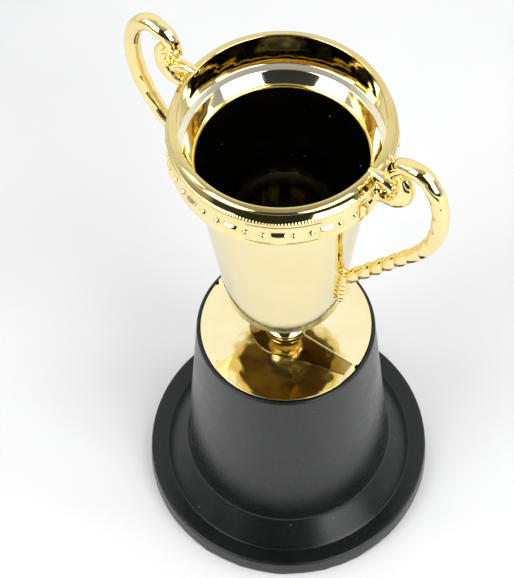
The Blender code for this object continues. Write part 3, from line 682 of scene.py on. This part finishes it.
def make_collar():
    """Ring with a rolled lip, a dark cove, a knurled edge and an embossed band."""
    seat, top = COLLAR_SEAT, COLLAR_TOP
    ground = COLLAR_RADIUS - 0.27 * MM
    band_top = seat + BAND_HEIGHT
    lip_drop = 0.5 * MM
    points, slots, _ = bent_line(COLLAR_RADIUS - 2.16 * MM, top - lip_drop, LIP_BENDS)
    radius, height = COLLAR_RADIUS - 1.3 * MM, top - 1.35 * MM
    for i in range(10):
        share = i / 10.0
        bow = 0.07 * MM * sin(pi * share)
        points.append((radius + (ground - radius) * share - bow * 0.9,
                       height + (band_top - height) * share - bow * 0.45))
        slots.append(LIP)
    steps = 54
    for i in range(steps + 1):
        share = i / steps
        points.append((ground + 0.1 * MM * share, band_top + (seat + 0.1 * MM - band_top) * share))
        slots.append(BAND)
    recess = COLLAR_RADIUS - 1.45 * MM
    wall_foot = BOWL_TOP + 0.25 * MM
    points += [(ground - 0.1 * MM, seat), (recess, seat), (recess, wall_foot)]
    slots += [LIP, LIP, INNER]
    levels = (wall_foot, seat + 4.2 * MM, seat + 6.6 * MM, top - lip_drop)
    wall = list(zip(INNER_WALL, levels))
    for (x0, z0), (x1, z1) in zip(wall, wall[1:]):
        for i in range(8):
            share = i / 8.0
            points.append(((x0 + (x1 - x0) * share) * MM, z0 + (z1 - z0) * share))
            slots.append(INNER)
    finishes = [GOLD_RIM, GOLD_INNER, GOLD_LIP_SHADE]
    collar = revolve("rim_ring", points, slots, finishes, 1296, collar_relief, sharp=60.0)
    stand_for(collar, "rim_collar")


# ---- handles ----------------------------------------------------------------------------------------
def flow(points, step):
    """Dense points along a smooth curve through the given ones, with each one's place on the list."""
    padded = [tuple(2 * a - b for a, b in zip(points[0], points[1]))] + list(points)
    padded += [tuple(2 * a - b for a, b in zip(points[-1], points[-2]))]
    places, shares = [], []
    for i in range(1, len(padded) - 2):
        p0, p1, p2, p3 = (np.array(padded[i + k]) for k in (-1, 0, 1, 2))
        count = max(2, int(np.linalg.norm(p2 - p1) / step))
        for j in range(count):
            t = j / count
            place = 0.5 * (2 * p1 + (p2 - p0) * t + (2 * p0 - 5 * p1 + 4 * p2 - p3) * t * t
                           + (3 * p1 - p0 - 3 * p2 + p3) * t ** 3)
            places.append(place)
            shares.append(i - 1 + t)
    places.append(np.array(points[-1]))
    shares.append(len(points) - 1)
    return np.array(places), np.array(shares)


def sweep(shape, points, radii, flat=1.0, groove=None):
    """Adds a closed tube along a curve of (x, y, z) points; groove(distance, turns) thins it locally."""
    sides = 28
    places, shares = flow(points, 0.22 * MM)
    radius = np.interp(shares, range(len(radii)), radii)
    tangents = np.gradient(places, axis=0)
    tangents /= np.linalg.norm(tangents, axis=1)[:, None]
    distance = np.concatenate(([0.0], np.cumsum(np.linalg.norm(np.diff(places, axis=0), axis=1))))
    across = np.array([0.0, 1.0, 0.0])
    turns = np.linspace(0.0, TAU, sides, endpoint=False)
    rings = []
    for place, tangent, r, s in zip(places, tangents, radius, distance):
        side = across - tangent * tangent.dot(across)
        side /= np.linalg.norm(side)
        normal = np.cross(side, tangent)
        size = np.full(sides, r) if groove is None else r * groove(s, turns)
        ring = place + np.outer(size * np.cos(turns), normal) + np.outer(size * np.sin(turns) * flat, side)
        rings.append([shape.verts.new(v) for v in ring])
    for ring, following in zip(rings, rings[1:]):
        for j in range(sides):
            k = (j + 1) % sides
            shape.faces.new((ring[j], ring[k], following[k], following[j]))
    shape.faces.new(list(reversed(rings[0])))
    shape.faces.new(rings[-1])


def ball(shape, centre, size, turn=0.0):
    """Adds an ellipsoid; size gives its three radii and turn rotates it about Y."""
    made = bmesh.ops.create_uvsphere(shape, u_segments=24, v_segments=14, radius=1.0)
    matrix = Matrix.Translation(centre) @ Matrix.Rotation(turn, 4, "Y") @ Matrix.Diagonal((*size, 1.0))
    bmesh.ops.transform(shape, verts=made["verts"], matrix=matrix)


ROPE_PITCH = 4.7 * MM           # length of rope in which its groove goes round once
ROPE_RADIUS = 1.42 * MM
TUBE = 1.65 * MM                # radius of the loop above the rope
VOXEL = 0.15 * MM               # in which the handle's parts are merged
BEAD_RADIUS = 0.56 * MM
# Places on the scroll, in millimetres: x from the cup's axis, y from the handle's middle plane, z from the
# collar's top. The beads are on one side only.
BEADS = ((25.2, 1.5, 2.1), (23.6, 1.5, 2.5), (22.1, 1.4, 4.1), (21.7, 1.4, 2.1), (24.6, 1.7, -0.7),
         (22.6, 1.5, -0.1))
LEAF = ((20.7, 0.0, -6.6), (22.4, 0.0, -5.6), (24.3, 0.0, -4.5), (25.8, 0.0, -2.6), (26.3, 0.0, 0.0),
        (25.6, 0.0, 2.6))
LEAF_RADII = (1.2, 1.7, 2.2, 2.2, 1.9, 1.2)
ARM = ((18.7, 0.0, -0.9), (20.4, 0.0, -0.9), (22.6, 0.0, -1.5), (25.0, 0.0, -2.6))
ARM_RADII = (0.75, 1.05, 1.25, 1.2)
BOSS = (21.1, 0.0, -4.9)
BOSS_RADII = (0.9, 1.9, 2.7)
# The loop's bend above the rope, in millimetres: inwards from its outermost point, and up from its middle.
BEND = ((1.8, -10.1), (0.5, -5.8), (0.0, -1.3), (0.3, 3.1), (1.3, 6.4), (2.8, 8.8), (4.7, 10.1), (6.6, 10.1),
        (8.5, 9.2), (9.9, 7.2), (10.5, 4.9))
# The tail below the rope, in millimetres: its points' heights from the rope's foot, and its radii there.
TAIL_HEIGHTS = (2.0, -1.0, -4.0, -7.0, -9.4)
TAIL_RADII = (1.0, 1.35, 1.25, 1.05, 0.7)


def on_scroll(place):
    """A place on the scroll in metres."""
    x, y, z = place
    return x * MM, y * MM, COLLAR_TOP + z * MM


def handle_points():
    """Centreline of the loop, from its foot on the bowl up and round to its inner end."""
    outer = HANDLE_HIGH.x - TUBE
    middle = HANDLE_HIGH.z - 11.9 * MM
    foot_x, foot_z = 14.7 * MM, middle - 37.3 * MM
    elbow_x, elbow_z = outer - 3.9 * MM, middle - 14.3 * MM
    rope = [(foot_x + (elbow_x - foot_x) * i / 5, 0.0, foot_z + (elbow_z - foot_z) * i / 5) for i in range(6)]
    return rope + [(outer - inward * MM, 0.0, middle + up * MM) for inward, up in BEND]


def rope_groove(distance, turns):
    """One helical groove, deep on the straight part and shallower round the bend."""
    fade = 0.34 + 0.66 * (1.0 - float(smoothstep(distance, 19.0 * MM, 27.0 * MM)))
    bulge = np.abs(np.sin((TAU * distance / ROPE_PITCH + turns) / 2.0)) ** 0.75
    return 1.0 - 0.27 * fade * (1.0 - bulge) + 0.04 * fade


def tail_groove(distance, turns):
    """Rings round the tail, every 1.9 mm."""
    return 1.0 - 0.16 * abs(cos(pi * distance / (1.9 * MM))) ** 3


def make_handle_mesh():
    """The right handle as one mesh: its parts are swept, then merged in voxels and smoothed."""
    shape = bmesh.new()
    path = handle_points()
    radii = [ROPE_RADIUS] * 5 + [1.5 * MM] + [TUBE] * (len(path) - 9) + [1.6 * MM, 1.45 * MM, 1.25 * MM]
    sweep(shape, path, radii, groove=rope_groove)
    for route, sizes, flat in ((LEAF, LEAF_RADII, 0.85), (ARM, ARM_RADII, 1.0)):
        sweep(shape, [on_scroll(place) for place in route], [size * MM for size in sizes], flat=flat)
    ball(shape, on_scroll(BOSS), [size * MM for size in BOSS_RADII], radians(-12.0))
    for bead in BEADS:
        ball(shape, on_scroll(bead), (BEAD_RADIUS,) * 3)
    foot_x, _, foot_z = path[0]
    slope = (NECK_RADIUS - BOWL_FOOT_RADIUS) / (NECK_Z - BOWL_LOW.z)
    tail = [(foot_x + slope * up * MM - 0.1 * MM, 0.0, foot_z + up * MM) for up in TAIL_HEIGHTS]
    sweep(shape, tail, [size * MM for size in TAIL_RADII], flat=1.15, groove=tail_groove)
    mesh = bpy.data.meshes.new("handle_parts")
    shape.to_mesh(mesh)
    shape.free()
    parts = link("handle_parts", mesh, [])
    merge = parts.modifiers.new("merge", "REMESH")
    merge.mode = "VOXEL"
    merge.voxel_size = VOXEL
    merge.use_smooth_shade = True
    soften = parts.modifiers.new("soften", "SMOOTH")
    soften.factor = 0.5
    soften.iterations = 5
    bpy.context.view_layer.update()
    evaluated = parts.evaluated_get(bpy.context.evaluated_depsgraph_get())
    merged = bpy.data.meshes.new_from_object(evaluated)
    merged.name = "loop_handle"
    bpy.data.objects.remove(parts, do_unlink=True)
    return merged


def make_handles():
    """The right handle, and the same moulding turned half round for the left."""
    mesh = make_handle_mesh()
    right = link("loop_handle_right", mesh, [GOLD_HANDLE])
    stand_for(right, "handle_right")
    turned = mesh.copy()
    turned.transform(Matrix.Rotation(pi, 4, "Z"))
    left = bpy.data.objects.new("loop_handle_left", turned)
    bpy.context.scene.collection.objects.link(left)
    stand_for(left, "handle_left")


# ---- stage, light and camera ------------------------------------------------------------------------
def make_floor():
    """Pale round table top with a few specks of dust."""
    graph = Graph("pale_floor")
    tone = graph.span(graph.noise(60.0 * MM, 3.0), 0.3, 0.7, 0.0, 1.0)
    colour = graph.blend(tone, (0.70, 0.705, 0.715), (0.74, 0.74, 0.745))
    dust = graph.specks(38.0 * MM, 0.02, 0.35)
    graph.put(graph.shader.inputs["Base Color"], graph.blend(dust, colour, (0.3, 0.3, 0.3)))
    graph.put(graph.shader.inputs["Roughness"], graph.span(tone, 0.0, 1.0, 0.55, 0.7))
    graph.shader.inputs["Specular IOR Level"].default_value = 0.2
    shape = bmesh.new()
    bmesh.ops.create_circle(shape, cap_ends=True, segments=96, radius=0.9)
    mesh = bpy.data.meshes.new("studio_floor")
    shape.to_mesh(mesh)
    shape.free()
    floor = link("studio_floor", mesh, [graph.material])
    floor.location.z = PAD_LOW.z - 0.02 * MM


FACING = radians(-53.8)         # direction from the cup to the camera, about Z
LAMP_DISTANCE = 0.8
LAMP_AIM = Vector((0.0, 0.0, 0.11))
# Name, bearing from the camera's side and elevation in degrees, width and height in metres, radiance.
LAMPS = (("softbox_right", 41.0, 30.0, 0.52, 0.78, 4.8), ("softbox_left", -54.0, 36.0, 0.42, 0.66, 4.6),
         ("strip_right", 86.0, 34.0, 0.20, 0.46, 4.6), ("strip_left", -88.0, 34.0, 0.16, 0.46, 3.2))


def make_softbox(name, bearing, elevation, width, height, radiance):
    """A rectangular lamp that faces the cup."""
    data = bpy.data.lights.new(name, "AREA")
    data.shape = "RECTANGLE"
    data.size = width
    data.size_y = height
    data.energy = radiance * pi * width * height
    lamp = bpy.data.objects.new(name, data)
    bpy.context.scene.collection.objects.link(lamp)
    turn, rise = FACING + radians(bearing), radians(elevation)
    away = Vector((cos(turn) * cos(rise), sin(turn) * cos(rise), sin(rise)))
    lamp.location = LAMP_AIM + LAMP_DISTANCE * away
    lamp.rotation_euler = (LAMP_AIM - lamp.location).to_track_quat("-Z", "Y").to_euler()


def make_flag():
    """A black card on the camera's side, low and close, seen only in the reflections."""
    shape = bmesh.new()
    spread, distance, card_top = 30.0, 0.30, 0.06
    edges = []
    for i in range(13):
        turn = FACING + radians(-spread + 2.0 * spread * i / 12.0)
        x, y = distance * cos(turn), distance * sin(turn)
        edges.append((shape.verts.new((x, y, PAD_LOW.z)), shape.verts.new((x, y, card_top))))
    for (low, high), (next_low, next_high) in zip(edges, edges[1:]):
        shape.faces.new((low, next_low, next_high, high))
    mesh = bpy.data.meshes.new("black_card")
    shape.to_mesh(mesh)
    shape.free()
    graph = Graph("black_cloth")
    tone = graph.noise(3.0 * MM, 2.0)
    graph.put(graph.shader.inputs["Base Color"], graph.blend(tone, (0.03, 0.028, 0.025), (0.06, 0.05, 0.045)))
    graph.shader.inputs["Roughness"].default_value = 0.9
    card = link("black_card", mesh, [graph.material])
    card.visible_camera = False
    card.visible_diffuse = False
    card.visible_shadow = False


# The studio's level from behind the camera, at 0, to the far side, at 1.
STUDIO_LEVELS = ((0.0, 0.03), (0.235, 0.05), (0.285, 0.36), (0.5, 0.5), (0.62, 0.92), (0.72, 1.05))


def make_world():
    """Pale backdrop to the camera; the light comes from a studio that is dark behind the camera."""
    world = bpy.data.worlds.new("studio")
    bpy.context.scene.world = world
    world.use_nodes = True
    tree = world.node_tree
    tree.nodes.clear()

    side = add_node(tree, "ShaderNodeVectorMath", operation="DOT_PRODUCT")
    tree.links.new(add_node(tree, "ShaderNodeTexCoord").outputs["Generated"], side.inputs[0])
    side.inputs[1].default_value = (-0.5 * cos(FACING), -0.5 * sin(FACING), 0.0)
    centred = add_node(tree, "ShaderNodeMath", operation="ADD")
    tree.links.new(side.outputs["Value"], centred.inputs[0])
    centred.inputs[1].default_value = 0.5
    ramp = add_node(tree, "ShaderNodeValToRGB")
    tree.links.new(centred.outputs[0], ramp.inputs["Fac"])
    elements = ramp.color_ramp.elements
    for _ in STUDIO_LEVELS[2:]:
        elements.new(1.0)
    for element, (place, level) in zip(elements, STUDIO_LEVELS):
        element.position = place
        element.color = (level, level, level, 1.0)
    studio = add_node(tree, "ShaderNodeBackground")
    tree.links.new(ramp.outputs["Color"], studio.inputs["Color"])
    backdrop = add_node(tree, "ShaderNodeBackground")
    backdrop.inputs["Color"].default_value = (0.93, 0.935, 0.945, 1.0)
    switch = add_node(tree, "ShaderNodeMixShader")
    tree.links.new(add_node(tree, "ShaderNodeLightPath").outputs["Is Camera Ray"], switch.inputs["Fac"])
    tree.links.new(studio.outputs[0], switch.inputs[1])
    tree.links.new(backdrop.outputs[0], switch.inputs[2])
    tree.links.new(switch.outputs[0], add_node(tree, "ShaderNodeOutputWorld").inputs["Surface"])


CAMERA_PLACE = (0.1181, -0.1613, 0.4058)
CAMERA_TURN, CAMERA_PITCH, CAMERA_ROLL = 37.86, 31.03, -2.58    # degrees
CAMERA_LENS, CAMERA_SENSOR = 118.1, 36.0                        # millimetres


def make_camera():
    """Camera above and in front of the cup, to its right."""
    data = bpy.data.cameras.new("camera")
    data.lens = CAMERA_LENS
    data.sensor_width = CAMERA_SENSOR
    data.clip_start = 0.01
    camera = bpy.data.objects.new("camera", data)
    bpy.context.scene.collection.objects.link(camera)
    turn = Matrix.Rotation(radians(CAMERA_TURN), 4, "Z")
    pitch = Matrix.Rotation(radians(CAMERA_PITCH), 4, "X")
    roll = Matrix.Rotation(radians(CAMERA_ROLL), 4, "Z")
    camera.matrix_world = Matrix.Translation(CAMERA_PLACE) @ turn @ pitch @ roll
    bpy.context.scene.camera = camera


def plate_fasteners():
    """The hidden screw and washer keep their CAD shape and get a plated steel."""
    for node_name in ("retaining_screw", "screw_washer"):
        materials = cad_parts[node_name].data.materials
        materials.clear()
        materials.append(STEEL)


make_base()
make_sheet()
make_plates()
make_stem()
make_bowl()
make_collar()
make_handles()
plate_fasteners()

make_floor()
for lamp_settings in LAMPS:
    make_softbox(*lamp_settings)
make_flag()
make_world()
make_camera()
bpy.context.scene.view_settings.view_transform = "Standard"
